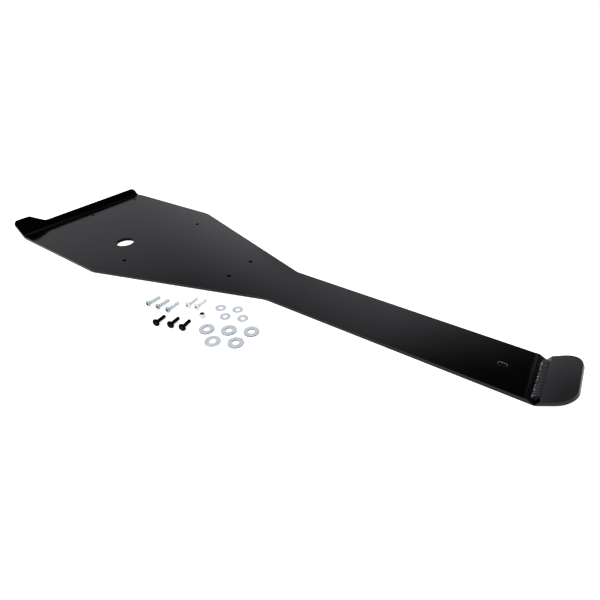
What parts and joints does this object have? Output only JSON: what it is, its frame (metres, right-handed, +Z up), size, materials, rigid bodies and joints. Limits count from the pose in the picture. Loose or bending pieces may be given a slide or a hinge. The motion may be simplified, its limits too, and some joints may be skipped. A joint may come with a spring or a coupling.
{
  "type": "atv belly skid plate",
  "caption": "Long belly skid plate with a wide tail, narrow bar, bent rear flange and welded upturned nose, with its loose kit of screws, washers and a lock nut.",
  "frame": {"origin": "underside of the plate, on its centre line, at the middle hole of the rear bolt row", "axes": "+X along the plate from the tail to the nose, +Y towards the machine's left side, +Z up from the floor"},
  "size_m": [1.1116, 0.3666, 0.0362],
  "materials": {
    "powder_coat": "satin black powder coat with a fine orange peel",
    "coated_weld": "black powder coat over a rippled weld bead",
    "zinc": "bright bluish zinc plating",
    "black_oxide": "semi-gloss black oxide",
    "stainless": "bright stainless steel",
    "nylon": "dark nylon"
  },
  "bodies": {
    "plate": {"main_plate": "powder_coat", "nose_plate": "powder_coat", "nose_weld": "coated_weld"},
    "zinc_screw_1_body": {"zinc_screw_1": "zinc"},
    "zinc_screw_2_body": {"zinc_screw_2": "zinc"},
    "zinc_screw_3_body": {"zinc_screw_3": "zinc"},
    "black_screw_1_body": {"black_screw_1": "black_oxide"},
    "black_screw_2_body": {"black_screw_2": "black_oxide"},
    "black_screw_3_body": {"black_screw_3": "black_oxide"},
    "steel_screw_1_body": {"steel_screw_1": "stainless"},
    "steel_screw_2_body": {"steel_screw_2": "stainless"},
    "large_washer_1_body": {"large_washer_1": "zinc"},
    "large_washer_2_body": {"large_washer_2": "zinc"},
    "large_washer_3_body": {"large_washer_3": "zinc"},
    "large_washer_4_body": {"large_washer_4": "zinc"},
    "large_washer_5_body": {"large_washer_5": "zinc"},
    "small_washer_1_body": {"small_washer_1": "zinc"},
    "small_washer_2_body": {"small_washer_2": "zinc"},
    "small_washer_3_body": {"small_washer_3": "zinc"},
    "small_washer_4_body": {"small_washer_4": "zinc"},
    "lock_nut_body": {"lock_nut": "stainless", "lock_nut_ring": "nylon"}
  },
  "joints": [
    {"name": "lift_zinc_screw_1", "type": "slide", "parent": "plate", "child": "zinc_screw_1_body", "axis": [0, 0, 1], "range_m": [0, 0.06]},
    {"name": "lift_zinc_screw_2", "type": "slide", "parent": "plate", "child": "zinc_screw_2_body", "axis": [0, 0, 1], "range_m": [0, 0.06]},
    {"name": "lift_zinc_screw_3", "type": "slide", "parent": "plate", "child": "zinc_screw_3_body", "axis": [0, 0, 1], "range_m": [0, 0.06]},
    {"name": "lift_black_screw_1", "type": "slide", "parent": "plate", "child": "black_screw_1_body", "axis": [0, 0, 1], "range_m": [0, 0.06]},
    {"name": "lift_black_screw_2", "type": "slide", "parent": "plate", "child": "black_screw_2_body", "axis": [0, 0, 1], "range_m": [0, 0.06]},
    {"name": "lift_black_screw_3", "type": "slide", "parent": "plate", "child": "black_screw_3_body", "axis": [0, 0, 1], "range_m": [0, 0.06]},
    {"name": "lift_steel_screw_1", "type": "slide", "parent": "plate", "child": "steel_screw_1_body", "axis": [0, 0, 1], "range_m": [0, 0.06]},
    {"name": "lift_steel_screw_2", "type": "slide", "parent": "plate", "child": "steel_screw_2_body", "axis": [0, 0, 1], "range_m": [0, 0.06]},
    {"name": "lift_large_washer_1", "type": "slide", "parent": "plate", "child": "large_washer_1_body", "axis": [0, 0, 1], "range_m": [0, 0.06]},
    {"name": "lift_large_washer_2", "type": "slide", "parent": "plate", "child": "large_washer_2_body", "axis": [0, 0, 1], "range_m": [0, 0.06]},
    {"name": "lift_large_washer_3", "type": "slide", "parent": "plate", "child": "large_washer_3_body", "axis": [0, 0, 1], "range_m": [0, 0.06]},
    {"name": "lift_large_washer_4", "type": "slide", "parent": "plate", "child": "large_washer_4_body", "axis": [0, 0, 1], "range_m": [0, 0.06]},
    {"name": "lift_large_washer_5", "type": "slide", "parent": "plate", "child": "large_washer_5_body", "axis": [0, 0, 1], "range_m": [0, 0.06]},
    {"name": "lift_small_washer_1", "type": "slide", "parent": "plate", "child": "small_washer_1_body", "axis": [0, 0, 1], "range_m": [0, 0.06]},
    {"name": "lift_small_washer_2", "type": "slide", "parent": "plate", "child": "small_washer_2_body", "axis": [0, 0, 1], "range_m": [0, 0.06]},
    {"name": "lift_small_washer_3", "type": "slide", "parent": "plate", "child": "small_washer_3_body", "axis": [0, 0, 1], "range_m": [0, 0.06]},
    {"name": "lift_small_washer_4", "type": "slide", "parent": "plate", "child": "small_washer_4_body", "axis": [0, 0, 1], "range_m": [0, 0.06]},
    {"name": "lift_lock_nut", "type": "slide", "parent": "plate", "child": "lock_nut_body", "axis": [0, 0, 1], "range_m": [0, 0.06]}
  ]
}
